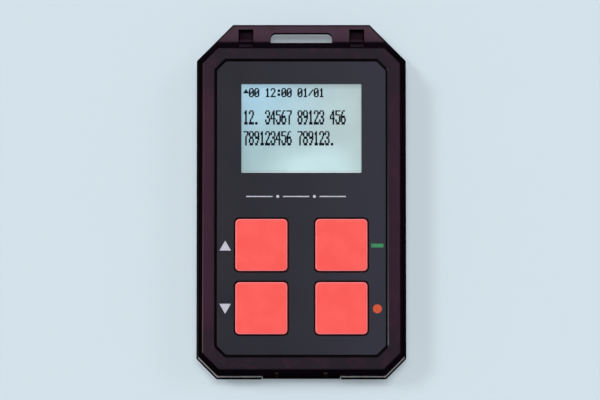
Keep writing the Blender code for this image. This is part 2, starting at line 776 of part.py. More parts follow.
def build_board():
    right = [
        (BOARD_NECK, BOARD_LOW),
        (BOARD_NECK, -29.0 * MM),
        (22.2 * MM, -26.0 * MM),
        (BOARD_HALF_WIDTH, -25.6 * MM),
        (BOARD_HALF_WIDTH, BOARD_HIGH - 4.0 * MM),
        (BOARD_HALF_WIDTH - 4.0 * MM, BOARD_HIGH),
    ]
    outline = right + [(-x, y) for x, y in reversed(right)]
    board = plate(outline, *BOARD_Z)
    for x, y in BOARD_SCREWS:
        cut(board, cylinder(1.2 * MM, (x, y, 0), (x, y, THICKNESS), 24))
    finish(board, "main_board", BOARD_GREEN)


def build_board_parts():
    """The chips, the radio's shield can and the buzzer, soldered under the board."""
    chips = (("controller_chip", CHIP_AT, (CHIP_SIZE, CHIP_SIZE)), ("memory_chip", MEMORY_AT, MEMORY_SIZE))
    for name, at, size in chips:
        chip = plate(rectangle(*size, at), UNDER_BOARD - 1.4 * MM, UNDER_BOARD)
        round_edges(chip, 0.3 * MM, 1)
        mark_x, mark_y = at[0] - size[0] / 2 + 1.2 * MM, at[1] + size[1] / 2 - 1.2 * MM
        cut(chip, cylinder(0.5 * MM, (mark_x, mark_y, 0), (mark_x, mark_y, UNDER_BOARD - 1.25 * MM), 16))
        finish(chip, name, BLACK_PLASTIC)
    can = rounded(rectangle(*SHIELD_SIZE, SHIELD_AT), 0.8 * MM)
    shield = plate(can, UNDER_BOARD - 3.0 * MM, UNDER_BOARD)
    finish(round_edges(shield, 0.3 * MM, 2, 60), "radio_shield", STEEL)
    x, y = BUZZER_AT
    buzzer = cylinder(BUZZER_RADIUS, (x, y, UNDER_BOARD - BUZZER_HEIGHT), (x, y, UNDER_BOARD), 40)
    round_edges(buzzer, 0.3 * MM, 2, 60)
    cut(buzzer, cylinder(1.2 * MM, (x, y, 0), (x, y, UNDER_BOARD - 2.0 * MM), 20))
    finish(buzzer, "buzzer", BLACK_PLASTIC)


def build_crystal():
    """The radio's reference crystal: a long round-ended can on a wider foot."""
    width, depth = CRYSTAL_SIZE
    outline = rounded(rectangle(width, depth, CRYSTAL_AT), 0.49 * depth, 8)
    can = round_edges(plate(outline, UNDER_BOARD - 3.2 * MM, UNDER_BOARD - 0.2 * MM), 0.25 * MM, 2, 60)
    join(can, plate(grown(outline, 0.35 * MM), UNDER_BOARD - 0.6 * MM, UNDER_BOARD))
    finish(can, "radio_crystal", STEEL)


def build_inductor():
    """The drum core of the step-up supply that runs the radio from one cell, with a wound waist."""
    x, y = INDUCTOR_AT
    low = UNDER_BOARD - INDUCTOR_HEIGHT
    flange = 0.8 * MM

    def disc(radius, start, end):
        return cylinder(radius, (x, y, start), (x, y, end), 28)

    drum = disc(INDUCTOR_RADIUS, low, low + flange)
    waist = disc(INDUCTOR_RADIUS - 0.7 * MM, low + flange / 2, UNDER_BOARD - flange / 2)
    join(drum, waist, disc(INDUCTOR_RADIUS, UNDER_BOARD - flange, UNDER_BOARD))
    finish(drum, "power_inductor", BLACK_PLASTIC)


def build_antenna():
    """A coil across the upper end, with a leg up to the board at each end."""
    axis_y, axis_z = COIL_AT
    per_turn = 12
    count = COIL_TURNS * per_turn
    coil = []
    for i in range(count + 1):
        angle = 2 * math.pi * i / per_turn
        x = COIL_LENGTH * (i / count - 0.5)
        coil.append((x, axis_y + COIL_RADIUS * math.sin(angle), axis_z + COIL_RADIUS * math.cos(angle)))
    leg_top = UNDER_BOARD - STACK_GAP
    legs = [(side * COIL_LENGTH / 2, axis_y, leg_top) for side in (-1, 1)]
    finish(wire([legs[0], *coil, legs[1]], 0.35 * MM), "antenna_coil", COPPER, smooth=True)


# ---------------------------------------------------------------- vibration motor


def motor_axis(x):
    return (x, MOTOR_Y, MOTOR_Z)


def build_motor_can():
    near, far = MOTOR_ENDS
    can = round_edges(cylinder(MOTOR_RADIUS, motor_axis(near), motor_axis(far)), 0.3 * MM, 2, 60)
    cut(can, cylinder(SHAFT_RADIUS + FIT, motor_axis(far - 3.0 * MM), motor_axis(far + FAR), 16))
    finish(can, "vibration_motor", STEEL)

    side, below = 3.9 * MM, 3.7 * MM
    holder = box(
        (near + 2.1 * MM, MOTOR_Y - side, MOTOR_Z - below),
        (far - 2.1 * MM, MOTOR_Y + side, UNDER_BOARD),
    )
    bore = cylinder(MOTOR_RADIUS + 2 * STACK_GAP, motor_axis(near - FAR), motor_axis(far + FAR))
    cut(holder, bore)
    finish(holder, "motor_holder", BLACK_PLASTIC)


def build_motor_rotor():
    """The shaft and its weight turn on one empty. The weight is half a disc on a hub, so it shakes."""
    start, end = WEIGHT_ENDS
    reach = end - start
    spin = empty("motor_spin_axis", motor_axis(start))
    shaft = cylinder(SHAFT_RADIUS, (-3.3 * MM, 0, 0), (reach + 0.4 * MM, 0, 0), 16)
    shaft.parent = spin
    finish(shaft, "motor_shaft", STEEL, smooth=True)

    weight = cylinder(WEIGHT_RADIUS, (0, 0, 0), (reach, 0, 0))
    cut(weight, box((-FAR, -FAR, 0.4 * MM), (reach + FAR, FAR, FAR)))
    inset = 0.02 * MM
    join(weight, cylinder(1.1 * MM, (inset, 0, 0), (reach - inset, 0, 0), 20))
    cut(weight, cylinder(SHAFT_RADIUS + STACK_GAP, (-FAR, 0, 0), (reach + FAR, 0, 0), 16))
    made = as_mesh(weight)
    made.parent = spin
    finish(made, "motor_weight", TUNGSTEN)


# ---------------------------------------------------------------- battery and charging


def cell_axis(x):
    return (x, CELL_Y, CELL_Z)


def build_cell():
    left, right = CELL_ENDS
    cell = round_edges(cylinder(CELL_RADIUS, cell_axis(left), cell_axis(right), 40), 0.4 * MM, 2, 60)
    join(cell, cylinder(1.9 * MM, cell_axis(right - MM), cell_axis(CELL_NUB), 24))
    finish(cell, "battery_cell", CELL_SLEEVE)


def build_contact_plate(name, x, wire_material):
    """A plate with a lug that rises beside the cell, and the wire from the lug to the board."""
    half_width = 3.5 * MM
    far_x = x + PLATE_THICKNESS
    lug_low, lug_high = CELL_Y + 1.3 * MM, CELL_Y + 3.3 * MM
    contact = box(
        (x, CELL_Y - half_width, CELL_Z - 3.6 * MM),
        (far_x, CELL_Y + half_width, CELL_Z + 2.9 * MM),
    )
    join(contact, box((x, lug_low, CELL_Z), (far_x, lug_high, 12.6 * MM)))
    finish(contact, f"battery_plate_{name}", SPRING_STEEL)
    side = math.copysign(1, x)
    middle_x = x + PLATE_THICKNESS / 2
    path = [
        (middle_x - side * 0.9 * MM, (lug_low + lug_high) / 2, 12.2 * MM),
        (side * 22.0 * MM, -35.8 * MM, 13.2 * MM),
        (side * 19.4 * MM, -33.6 * MM, 13.2 * MM),
        (side * 18.6 * MM, -32.4 * MM, 12.6 * MM),
    ]
    finish(wire(path, 0.45 * MM), f"battery_wire_{name}", wire_material, smooth=True)


def build_battery_spring():
    """A coil that narrows from the negative plate to the cell."""
    turns, per_turn, thickness = 3.5, 14, 0.28 * MM
    wide, narrow = 3.2 * MM, 1.8 * MM
    start_x = NEGATIVE_PLATE_X + PLATE_THICKNESS + thickness + 2 * STACK_GAP
    end_x = CELL_ENDS[0] - thickness - 2 * STACK_GAP
    count = int(turns * per_turn)
    coil = []
    for i in range(count + 1):
        share = i / count
        angle = 2 * math.pi * i / per_turn
        radius = wide + (narrow - wide) * share
        x = start_x + (end_x - start_x) * share
        coil.append((x, CELL_Y + radius * math.cos(angle), CELL_Z + radius * math.sin(angle)))
    finish(wire(coil, thickness), "battery_spring", SPRING_STEEL, smooth=True)


def build_charging():
    """A blade through the lower end wall on each side, and its wire over the cell to the board."""
    for name, side, wire_material in (("left", -1, WIRE_BLACK), ("right", 1, WIRE_RED)):
        finish(charge_blade(side), f"charge_contact_{name}", GOLD)
        x = side * CHARGE_X
        path = [
            (x, CHARGE_INNER_Y + 0.25 * MM, 14.6 * MM),
            (x, -44.6 * MM, 14.6 * MM),
            (x, -36.2 * MM, 13.9 * MM),
            (x, -34.0 * MM, 13.5 * MM),
            (x, -33.6 * MM, 12.6 * MM),
        ]
        finish(wire(path, 0.4 * MM), f"charge_wire_{name}", wire_material, smooth=True)


def build_battery_door():
    """A plate with an end tongue, both trimmed by the rear shell's own outside, two side rails, and
    thumb grooves with an arrow that shows which way it slides."""
    end_y = -HALF_LENGTH - FAR
    door = box((-DOOR_HALF_WIDTH, end_y, -FAR), (DOOR_HALF_WIDTH, DOOR_TOP_Y, DOOR_THICKNESS))
    slope_foot = 7.4 * MM
    tongue = [
        (end_y, 0.5 * MM),
        (TONGUE_INNER_Y, 0.5 * MM),
        (TONGUE_INNER_Y, TONGUE_TOP),
        (-50.1 * MM, TONGUE_TOP),
        (-HALF_LENGTH, slope_foot),
        (end_y, slope_foot),
    ]
    join(door, prism(tongue, -TONGUE_HALF_WIDTH, TONGUE_HALF_WIDTH))
    combine(door, "INTERSECT", [rear_hull()])
    rail_low, rail_high = DOOR_RAIL_Z
    join(door, box((-DOOR_RAIL, -47.4 * MM, rail_low), (DOOR_RAIL, DOOR_TOP_Y - 2 * FIT, rail_high)))
    for i in range(DOOR_GROOVES):
        groove = rounded(rectangle(14.0 * MM, 0.8 * MM, (0.0, -45.6 * MM + i * GROOVE_PITCH)), 0.39 * MM)
        cut(door, plate(groove, -FAR, GROOVE_DEPTH))
    arrow_half, arrow_foot = ARROW_SIZE[0] / 2, ARROW_TIP_Y + ARROW_SIZE[1]
    arrow = [(0.0, ARROW_TIP_Y), (arrow_half, arrow_foot), (-arrow_half, arrow_foot)]
    cut(door, plate(arrow, -FAR, GROOVE_DEPTH))
    made = as_mesh(door)
    slide = empty("battery_door_slide", (0, CELL_Y, 0))
    made.parent = slide
    made.matrix_parent_inverse = slide.matrix_basis.inverted()
    finish(made, "battery_door", CASE_PLASTIC)


# ---------------------------------------------------------------- screws


def screw(name, at, head_z, tip_z, head_radius, shank_radius):
    """A pan-head screw that points up, turned from one profile, with a cross recess in its head."""
    x, y = at
    head_height = 0.75 * head_radius
    profile = [
        (0, tip_z),
        (shank_radius * 0.4, tip_z),
        (shank_radius, tip_z - shank_radius),
        (shank_radius, head_z),
        (head_radius, head_z),
        (head_radius, head_z - head_height * 0.6),
        (head_radius * 0.75, head_z - head_height),
        (0, head_z - head_height),
    ]
    profile_mesh = bpy.data.meshes.new("profile")
    points = [(radius, 0, z) for radius, z in profile]
    profile_mesh.from_pydata(points, [(i, i + 1) for i in range(len(points) - 1)], [])
    obj = bpy.data.objects.new("screw", profile_mesh)
    bpy.context.scene.collection.objects.link(obj)
    turned = obj.modifiers.new("turned", "SCREW")
    turned.steps = turned.render_steps = 20
    turned.use_merge_vertices = True
    turned.merge_threshold = 0.01 * MM
    obj.location = (x, y, 0)
    half_slot, reach = 0.22 * head_radius, 0.6 * head_radius
    low, depth = head_z - head_height - NEAR, head_z - head_height * 0.5
    cut(
        obj,
        box((x - half_slot, y - reach, low), (x + half_slot, y + reach, depth)),
        box((x - reach, y - half_slot, low), (x + reach, y + half_slot, depth - 0.02 * MM)),
    )
    finish(obj, name, STEEL)


def build_screws():
    for side, at in CASE_SCREWS.items():
        screw(f"case_screw_{side}", at, 2.9 * MM, 14.6 * MM, 2.2 * MM, 1.1 * MM)
    for number, at in enumerate(BOARD_SCREWS, 1):
        screw(f"board_screw_{number}", at, UNDER_BOARD, 15.8 * MM, 1.9 * MM, 0.9 * MM)


clear_scene()
PAGER = new_collection("pager")
CUTTERS = new_collection("cutters")
CASE_PLASTIC = material("case plastic", (0.035, 0.018, 0.028), 0.38)
LABEL_FILM = material("label film", (0.031, 0.029, 0.044), 0.45)
CLEAR_PLASTIC = material("clear plastic", (0.85, 0.9, 0.92), 0.05, alpha=0.3)
GLASS = material("display glass", (0.45, 0.56, 0.58), 0.1)
DIFFUSER = material("light guide", (0.85, 0.9, 0.9), 0.3)
KEY_PLASTIC = material("key plastic", (0.97, 0.11, 0.1), 0.5)
WHITE_PLASTIC = material("white plastic", (0.75, 0.75, 0.72), 0.5)
BLACK_PLASTIC = material("black plastic", (0.02, 0.02, 0.02), 0.5)
POLYIMIDE = material("ribbon film", (0.6, 0.25, 0.05), 0.4)
BOARD_GREEN = material("circuit board", (0.02, 0.16, 0.06), 0.4)
STEEL = material("steel", (0.6, 0.6, 0.6), 0.35, 1.0)
SPRING_STEEL = material("spring steel", (0.7, 0.7, 0.68), 0.25, 1.0)
COPPER = material("copper", (0.72, 0.35, 0.2), 0.3, 1.0)
GOLD = material("gold plate", (0.85, 0.62, 0.3), 0.25, 1.0)
TUNGSTEN = material("tungsten", (0.35, 0.35, 0.36), 0.4, 1.0)
CELL_SLEEVE = material("cell sleeve", (0.05, 0.22, 0.12), 0.4)
WIRE_RED = material("red wire", (0.5, 0.02, 0.02), 0.5)
WIRE_BLACK = material("black wire", (0.02, 0.02, 0.02), 0.5)

build_rear_shell()
build_front_shell()
build_front_label()
build_display_window()
build_display_glass()
build_display_frame()
build_ribbon()
build_keys()
build_board()
build_board_parts()
build_crystal()
build_inductor()
build_antenna()
build_motor_can()
build_motor_rotor()
build_cell()
build_contact_plate("negative", NEGATIVE_PLATE_X, WIRE_BLACK)
build_contact_plate("positive", POSITIVE_PLATE_X, WIRE_RED)
build_battery_spring()
build_charging()
build_battery_door()
build_screws()
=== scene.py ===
"""The looks of the pager: materials for every part, the printed and lit details, and a soft studio."""

import json
import math

import bmesh
import bpy
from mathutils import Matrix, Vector


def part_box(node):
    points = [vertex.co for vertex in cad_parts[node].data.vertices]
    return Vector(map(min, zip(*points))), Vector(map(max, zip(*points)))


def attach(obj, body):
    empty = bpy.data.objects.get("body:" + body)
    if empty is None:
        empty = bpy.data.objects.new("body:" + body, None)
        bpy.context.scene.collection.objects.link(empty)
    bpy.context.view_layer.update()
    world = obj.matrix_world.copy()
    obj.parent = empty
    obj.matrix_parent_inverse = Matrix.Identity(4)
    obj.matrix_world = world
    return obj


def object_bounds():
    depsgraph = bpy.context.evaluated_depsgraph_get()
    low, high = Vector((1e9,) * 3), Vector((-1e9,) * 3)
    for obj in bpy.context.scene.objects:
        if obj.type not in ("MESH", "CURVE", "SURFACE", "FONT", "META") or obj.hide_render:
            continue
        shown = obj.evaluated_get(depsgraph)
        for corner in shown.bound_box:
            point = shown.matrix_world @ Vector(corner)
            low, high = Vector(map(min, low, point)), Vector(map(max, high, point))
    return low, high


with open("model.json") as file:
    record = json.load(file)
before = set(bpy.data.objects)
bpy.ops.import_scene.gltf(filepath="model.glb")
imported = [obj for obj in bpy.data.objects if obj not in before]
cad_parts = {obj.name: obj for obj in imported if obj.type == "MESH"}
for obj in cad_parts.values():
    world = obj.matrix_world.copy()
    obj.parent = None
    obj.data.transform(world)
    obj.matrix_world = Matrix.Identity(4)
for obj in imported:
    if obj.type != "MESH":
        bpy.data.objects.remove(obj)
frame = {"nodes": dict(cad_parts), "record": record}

MM = 0.001
CAD_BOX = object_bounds()
NODES = frame["nodes"]
WINDOW_LOW, WINDOW_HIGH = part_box("display_window")
LABEL_LOW, LABEL_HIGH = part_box("front_label")
GLASS_LOW, GLASS_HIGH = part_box("lcd_rear_glass")
SHELL_LOW, SHELL_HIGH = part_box("rear_shell")
VIEW_FOOT = WINDOW_LOW.y + 2.65 * MM  # the window's flange is hidden below this
LEDGE_Z = SHELL_HIGH.z - 1.2 * MM  # the rear shell's rim, below the lip on its inner side
LOW_CUT = 5.8 * MM  # how far its lower corners are cut off

# The case's colour, its painted glow, painted shade and painted highlight: where each part of it sets in,
# and where it is complete
SIDE_GLOW_CENTRE_Y = -2.5 * MM  # the painted side glow is the same either side of here
SIDE_GLOW_FADE = (30.0 * MM, 36.0 * MM)  # distance from there, along the length
SIDE_GLOW_FROM_AXIS = (22.0 * MM, 27.0 * MM)  # distance from the axis
TAB_START = (45.6 * MM, 46.2 * MM)
TOP_WALL = (42.5 * MM, 43.5 * MM)
NOTCH_SIDE = (11.3 * MM, 11.5 * MM)
LEDGE_HIGHLIGHT_INNER = (1.2 * MM, 1.0 * MM)  # the ledge's band of painted highlight, from the foot's outer edge
LEDGE_HIGHLIGHT_OUTER = (0.58 * MM, 0.7 * MM)
CORNER_HIGHLIGHT = (1.35 * MM, 1.15 * MM)  # the same in from the cut corners

# The display's picture
DOT_COUNT = (128, 64)
DOT_PITCH = (0.255 * MM, 0.37 * MM)
DOT_GAP = 0.006 * MM
DOT_BLEED = 0.11 * MM
PICTURE_RISE = 0.15 * MM
CELL_COLUMNS = 6
STATUS_HEIGHT = 7
MESSAGE_HEIGHT = 11
TEXT_FEET = (7, 28, 44)  # each line's foot, in dot rows below the top one
STATUS_ROW = "^00 12:00 01/01"
MESSAGE_ROWS = ("12. 34567 89123 456", "789123456 789123.")

# Its numerals and signs, drawn in rows of dots from the top
GLYPHS = {
    "0": ".###. #...# #..## #.#.# ##..# #...# .###.",
    "1": "..#.. .##.. ..#.. ..#.. ..#.. ..#.. .###.",
    "2": ".###. #...# ....# ...#. ..#.. .#... #####",
    "3": ".###. #...# ....# ..##. ....# #...# .###.",
    "4": "...#. ..##. .#.#. #..#. ##### ...#. ...#.",
    "5": "##### #.... ####. ....# ....# #...# .###.",
    "6": "..##. .#... #.... ####. #...# #...# .###.",
    "7": "##### ....# ...#. ..#.. ..#.. ..#.. ..#..",
    "8": ".###. #...# #...# .###. #...# #...# .###.",
    "9": ".###. #...# #...# .#### ....# ...#. .##..",
    ":": "..... ..##. ..##. ..... ..##. ..##. .....",
    ".": "..... ..... ..... ..... ..... ..... .##..",
    "/": "..... ....# ...#. ..#.. .#... #.... .....",
    "^": "..... ..#.. .###. ##### ..... ..... .....",
}

# The print on the front label
ARROW_HALF = 1.62 * MM
ARROW_RISE = 1.4 * MM
LEGEND_INSET = (2.29 * MM, 2.35 * MM)  # from the label's left edge and its right one
LEGEND_DROP = 0.15 * MM
DASH_SIZE = (3.45 * MM, 1.05 * MM)
DOT_RADIUS = 1.25 * MM
RULE_Y = 1.1 * MM
RULE_DASH = (7.4 * MM, 0.32 * MM)
RULE_DOT = 0.42 * MM

# The label on the back
TYPE_PLATE_AT = (0.0, 17.0 * MM)
TYPE_PLATE_SIZE = (37.4 * MM, 21.4 * MM)
TYPE_PLATE_DEPTH = 0.3 * MM
TYPE_PLATE_CORNER = 1.0 * MM
PAPER_Z = (-0.14 * MM, 0.005 * MM)  # from the recess's floor
PRINT_Z = (-0.16 * MM, -0.13 * MM)
LINE_WIDTH = 0.25 * MM
LINE_LENGTH = 28.0 * MM
TICK_BOX = 2.6 * MM
QUADRANTS = ((1, 1), (-1, 1), (-1, -1), (1, -1))

# Light
WHITE = (1.0, 1.0, 1.0)
PAPER = (0.575, 0.665, 0.725)
SKY = (0.66, 0.76, 0.83)
ROOM = (0.19, 0.19, 0.19)
MIRRORED_ABOVE = (0.3, 0.3, 0.33)
MIRRORED_LOW = (0.01, 0.01, 0.012)
FLOOR_GLOW = 0.25  # the share of the floor's light that is its own

# Camera
LENS = 125.9
CAMERA_TARGET = Vector((-0.39 * MM, 0.45 * MM, 10.0 * MM))
CAMERA_DISTANCE = 0.6
CAMERA_TILT = math.radians(2.0)


# ---------------------------------------------------------------- node graphs


def rgba(colour):
    if isinstance(colour, bpy.types.NodeSocket) or len(colour) == 4:
        return colour
    return (*colour, 1.0)


class Graph:
    """A material's node tree. Each method adds nodes and returns the last one's output socket."""

    def __init__(self, name):
        self.material = bpy.data.materials.new(name)
        self.material.use_nodes = True
        self.tree = self.material.node_tree
        self.tree.nodes.clear()
        self.place = self.add("ShaderNodeTexCoord", "Object")

    def add(self, kind, output=0, settings=None, **inputs):
        """Inputs are named as on the node, with _ for a space, or i0, i1... by their number."""
        node = self.tree.nodes.new(kind)
        for key, value in (settings or {}).items():
            setattr(node, key, value)
        for key, value in inputs.items():
            socket = node.inputs[int(key[1:]) if key[1:].isdigit() else key.replace("_", " ")]
            if isinstance(value, bpy.types.NodeSocket):
                self.tree.links.new(value, socket)
            else:
                socket.default_value = value
        return node.outputs[output]

    def axis(self, name):
        return self.add("ShaderNodeSeparateXYZ", name, Vector=self.place)

    def noise(self, size_mm, detail=3.0, stretch=None):
        """Noise from 0 to 1 whose blotches are about this large."""
        place = self.place
        if stretch:
            place = self.add("ShaderNodeMapping", Vector=place, Scale=stretch)
        return self.add("ShaderNodeTexNoise", Vector=place, Scale=1 / (size_mm * MM), Detail=detail)

    def math(self, operation, a, b=0.0):
        return self.add("ShaderNodeMath", settings={"operation": operation}, i0=a, i1=b)

    def steps(self, value, low, high, out_low=0.0, out_high=1.0):
        """Maps low..high smoothly to out_low..out_high, and stays there beyond them."""
        smooth = {"interpolation_type": "SMOOTHSTEP"}
        return self.add("ShaderNodeMapRange", 0, smooth, i0=value, i1=low, i2=high, i3=out_low, i4=out_high)

    def mix(self, share, first, second, blend="MIX"):
        settings = {"data_type": "RGBA", "blend_type": blend}
        return self.add("ShaderNodeMix", 2, settings, i0=share, i6=rgba(first), i7=rgba(second))

    def edges(self, radius_mm):
        """1 along edges, within the radius, and 0 on flat faces."""
        rounded = self.add("ShaderNodeBevel", 0, {"samples": 6}, Radius=radius_mm * MM)
        flat = self.add("ShaderNodeNewGeometry", "Normal")
        alike = self.add("ShaderNodeVectorMath", "Value", {"operation": "DOT_PRODUCT"}, i0=rounded, i1=flat)
        return self.steps(self.math("SUBTRACT", 1.0, alike), 0.004, 0.08)

    def upright(self):
        """How far a face looks up or down: 1 when level, 0 when vertical."""
        normal = self.add("ShaderNodeNewGeometry", "Normal")
        return self.math("ABSOLUTE", self.add("ShaderNodeSeparateXYZ", "Z", Vector=normal))

    def shelter(self, reach_mm):
        """1 deep in a gap or a pocket, and 0 in the open, from ambient occlusion: the mask for painted
        shade.
        """
        seen = self.add("ShaderNodeAmbientOcclusion", "AO", {"samples": 6}, Distance=reach_mm * MM)
        return self.steps(seen, 0.3, 0.95, 1.0, 0.0)

    def bump(self, height, depth_mm, strength=1.0):
        return self.add("ShaderNodeBump", Height=height, Distance=depth_mm * MM, Strength=strength)

    def principled(self, **inputs):
        return self.add("ShaderNodeBsdfPrincipled", **inputs)

    def finish(self, shader):
        out = self.tree.nodes.new("ShaderNodeOutputMaterial")
        self.tree.links.new(shader, out.inputs["Surface"])
        return self.material


# ---------------------------------------------------------------- materials


def plastic(name, deep, pale, worn, roughness, specular, grain_mm, grain_depth, blotch_mm):
    """Moulded plastic: uneven depth of colour, a fine grain, smudges, and edges rubbed paler.

    Its grain hides most of the shine on faces seen edge on.
    """
    g = Graph(name)
    facing = g.add("ShaderNodeLayerWeight", "Facing", Blend=0.5)
    shine = g.steps(facing, 0.55, 0.85, specular, 0.06 * specular)
    colour = g.mix(g.steps(g.noise(blotch_mm, 4.0), 0.38, 0.66), deep, pale)
    grain = g.noise(grain_mm, 2.0)
    colour = g.mix(g.steps(grain, 0.58, 0.78, 0.0, 0.35), colour, pale)
    edge_wear_and_highlight = g.math("MULTIPLY", g.edges(0.25), g.steps(g.noise(2.5), 0.35, 0.65, 0.25, 1.0))
    colour = g.mix(edge_wear_and_highlight, colour, worn)
    smudge = g.steps(g.noise(13.0, 5.0), 0.3, 0.7, roughness - 0.04, roughness + 0.06)
    rough = g.math("ADD", smudge, g.steps(grain, 0.3, 0.7, -0.03, 0.03))
    normal = g.bump(grain, grain_depth)
    return g.finish(
        g.principled(Base_Color=colour, Roughness=rough, Normal=normal, Specular_IOR_Level=shine)
    )


def painted_ledge_highlight(g):
    """1 on the rim's ledge along the foot and its two corners, where a pale line is painted as a highlight.
    """
    x, y, z = (g.axis(name) for name in "XYZ")
    aside = g.math("ABSOLUTE", x)
    inwards = g.math("SUBTRACT", y, SHELL_LOW.y)
    foot = g.math("MULTIPLY", g.steps(inwards, *LEDGE_HIGHLIGHT_INNER), g.steps(inwards, *LEDGE_HIGHLIGHT_OUTER))
    cut_line = SHELL_HIGH.x - SHELL_LOW.y - LOW_CUT
    across_cut = g.math("SUBTRACT", aside, y)
    corner = g.steps(across_cut, cut_line - CORNER_HIGHLIGHT[0], cut_line - CORNER_HIGHLIGHT[1])
    place = g.math("MAXIMUM", foot, corner)
    place = g.math("MULTIPLY", place, g.steps(aside, *NOTCH_SIDE))
    height = g.math("ABSOLUTE", g.math("SUBTRACT", z, LEDGE_Z - 0.2 * MM))
    place = g.math("MULTIPLY", place, g.steps(height, 0.3 * MM, 0.5 * MM, 1.0, 0.0))
    return g.math("MULTIPLY", place, g.steps(g.upright(), 0.8, 0.95))


def case_colour_and_glow(g, on_tab):
    """Very dark purple, mottled rose, with a painted glow of light through the plastic: redder down the
    sides, most on the left, and in the thin tab; its edges paler from a painted highlight.
    """
    x, y = g.axis("X"), g.axis("Y")
    middle = (0.0105, 0.0062, 0.0122)
    from_centre = g.math("ABSOLUTE", g.math("SUBTRACT", y, SIDE_GLOW_CENTRE_Y))
    along = g.steps(from_centre, *SIDE_GLOW_FADE, 1.0, 0.3)
    left = g.math("MULTIPLY", along, g.steps(x, -SIDE_GLOW_FROM_AXIS[0], -SIDE_GLOW_FROM_AXIS[1]))
    right = g.math("MULTIPLY", along, g.steps(x, *SIDE_GLOW_FROM_AXIS))
    # painted glow of light through the plastic down the sides, stronger on the left
    colour = g.mix(left, middle, (0.032, 0.0072, 0.0195))
    colour = g.mix(right, colour, (0.0225, 0.0068, 0.017))
    # painted glow of light through the thin tab
    colour = g.mix(on_tab, colour, (0.047, 0.0225, 0.0375))
    cloud = g.steps(g.noise(3.2, 6.0), 0.5, 0.7, 0.0, 0.5)
    colour = g.mix(cloud, colour, (0.034, 0.0105, 0.019))
    grain = g.noise(0.3, 3.0)
    colour = g.mix(g.steps(grain, 0.52, 0.75, 0.0, 0.5), colour, (0.032, 0.018, 0.028))
    # painted highlight: the case's edges are made paler, broken up by noise
    edge_wear_and_highlight = g.math("MULTIPLY", g.edges(0.2), g.steps(g.noise(2.5), 0.35, 0.65, 0.1, 0.5))
    return g.mix(edge_wear_and_highlight, colour, (0.045, 0.025, 0.036)), grain


def ledge_band_shade(g, on_tab):
    """Painted shade: near 1 in a band about 2 mm tall round the height of the rim's ledge, where the two
    shells meet, which the tab doesn't have.
    """
    from_ledge_line = g.math("ABSOLUTE", g.math("SUBTRACT", g.axis("Z"), LEDGE_Z - 0.3 * MM))
    line = g.steps(from_ledge_line, 0.8 * MM, 1.3 * MM, 0.9, 0.0)
    return g.math("MULTIPLY", line, g.math("SUBTRACT", 1.0, on_tab))


def case_plastic():
    """Very dark purple, slightly see-through plastic with a spark-eroded grain. Its chamfers, its gaps,
    faces seen edge on and a band round the line where the two shells meet have painted shade, and its lower
    ledge a painted highlight."""
    g = Graph("case_plastic")
    # ambient occlusion: painted shade in gaps and pockets, and less shine there
    sheltered = g.shelter(5.0)
    facing = g.add("ShaderNodeLayerWeight", "Facing", Blend=0.5)
    y = g.axis("Y")
    on_tab = g.steps(y, *TAB_START)
    ledge_shade = ledge_band_shade(g, on_tab)
    shine = g.steps(facing, 0.4, 0.7, 0.24, 0.0)
    shine = g.math("MULTIPLY", shine, g.math("SUBTRACT", 1.0, sheltered))
    shine = g.math("MULTIPLY", shine, g.math("SUBTRACT", 1.0, ledge_shade))
    colour, grain = case_colour_and_glow(g, on_tab)
    # painted shade: chamfers, faces seen edge on, gaps and pockets and the ledge band are darkened, a
    # little less by the top wall
    level = g.upright()
    chamfer = g.math("MULTIPLY", g.steps(level, 0.52, 0.62), g.steps(level, 0.97, 0.85, 0.0, 0.8))
    slanted = g.steps(facing, 0.6, 0.85, 0.0, 0.75)
    dark = g.math("MAXIMUM", g.math("MAXIMUM", sheltered, slanted), g.math("MAXIMUM", chamfer, ledge_shade))
    dark = g.math("MULTIPLY", dark, g.steps(y, *TOP_WALL, 1.0, 0.8))
    colour = g.mix(dark, colour, (0.0004, 0.0002, 0.0004))
    # painted highlight along the lower ledge and its cut corners, broken up by noise
    highlight_breakup = g.steps(g.noise(1.5, 4.0), 0.3, 0.6, 0.75, 1.0)
    colour = g.mix(g.math("MULTIPLY", painted_ledge_highlight(g), highlight_breakup), colour, (0.26, 0.255, 0.262))
    rough = g.steps(g.noise(13.0, 5.0), 0.3, 0.7, 0.3, 0.4)
    return g.finish(
        g.principled(
            Base_Color=colour, Roughness=rough, Normal=g.bump(grain, 0.005), Specular_IOR_Level=shine
        )
    )


def metal(name, bright, tarnished, roughness, brushed=None):
    """Bare or plated metal with tool marks, a little tarnish in patches and rubbed edges, and painted shade
    on faces seen edge on and in recesses, which also dims their reflection.
    """
    g = Graph(name)
    stain = g.steps(g.noise(1.8, 4.0), 0.45, 0.75, 0.0, 0.7)
    marks = g.noise(0.5, 6.0, brushed or (1.0, 1.0, 1.0))
    colour = g.mix(stain, bright, tarnished)
    colour = g.mix(g.edges(0.1), colour, bright)
    facing = g.add("ShaderNodeLayerWeight", "Facing", Blend=0.5)
    # painted shade on faces seen edge on and in recesses; it also darkens their reflection
    grazing = g.steps(facing, 0.5, 0.8, 0.0, 0.85)
    hidden = g.math("MAXIMUM", grazing, g.math("MULTIPLY", g.shelter(2.0), 0.9))
    colour = g.mix(hidden, colour, (0.01, 0.006, 0.006))
    rough = g.steps(marks, 0.3, 0.7, roughness - 0.05, roughness + 0.1)
    normal = g.bump(marks, 0.002)
    rim = g.mix(hidden, WHITE, (0.02, 0.02, 0.02))
    return g.finish(
        g.principled(Base_Color=colour, Metallic=1.0, Roughness=rough, Normal=normal, Specular_Tint=rim)
    )


